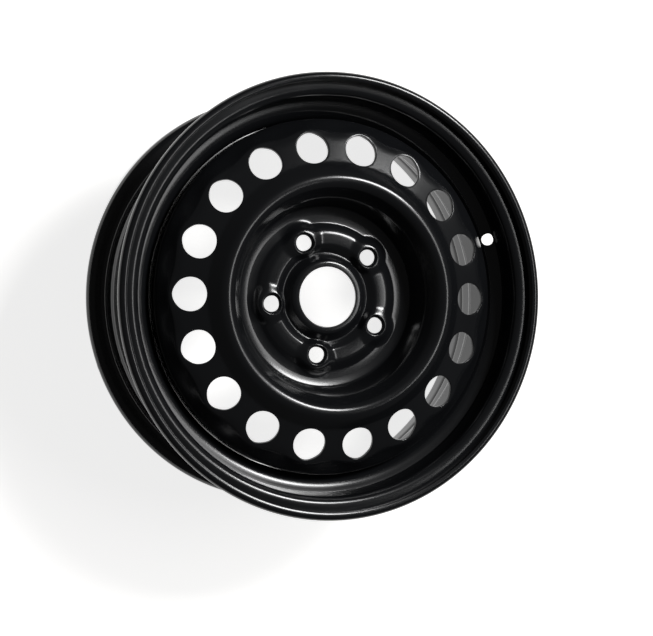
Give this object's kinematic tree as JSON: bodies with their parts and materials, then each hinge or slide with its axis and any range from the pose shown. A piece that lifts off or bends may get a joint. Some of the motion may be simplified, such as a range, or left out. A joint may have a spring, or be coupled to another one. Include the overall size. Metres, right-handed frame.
{
  "type": "steel wheel rim",
  "caption": "Pressed steel car wheel: rolled drop-centre rim with J flanges and humps, welded to a disc with bore, bolt holes and a ring of round vents.",
  "frame": {"origin": "on the wheel's axis, at the plane that the inboard lip stands on", "axes": "+Z along the axis, towards the outboard face; +X through the middle of the vent next to the valve hole"},
  "size_m": [0.4148, 0.4148, 0.1657],
  "materials": {
    "e_coat": "satin black electro-dipped coat over pressed steel sheet",
    "weld": "rippled weld bead under the same black coat"
  },
  "bodies": {
    "root": {"rim": "e_coat", "disc": "e_coat", "weld_bead_1": "weld", "weld_bead_2": "weld", "weld_bead_3": "weld", "weld_bead_4": "weld", "weld_bead_5": "weld", "weld_bead_6": "weld", "weld_bead_7": "weld", "weld_bead_8": "weld"}
  },
  "joints": []
}
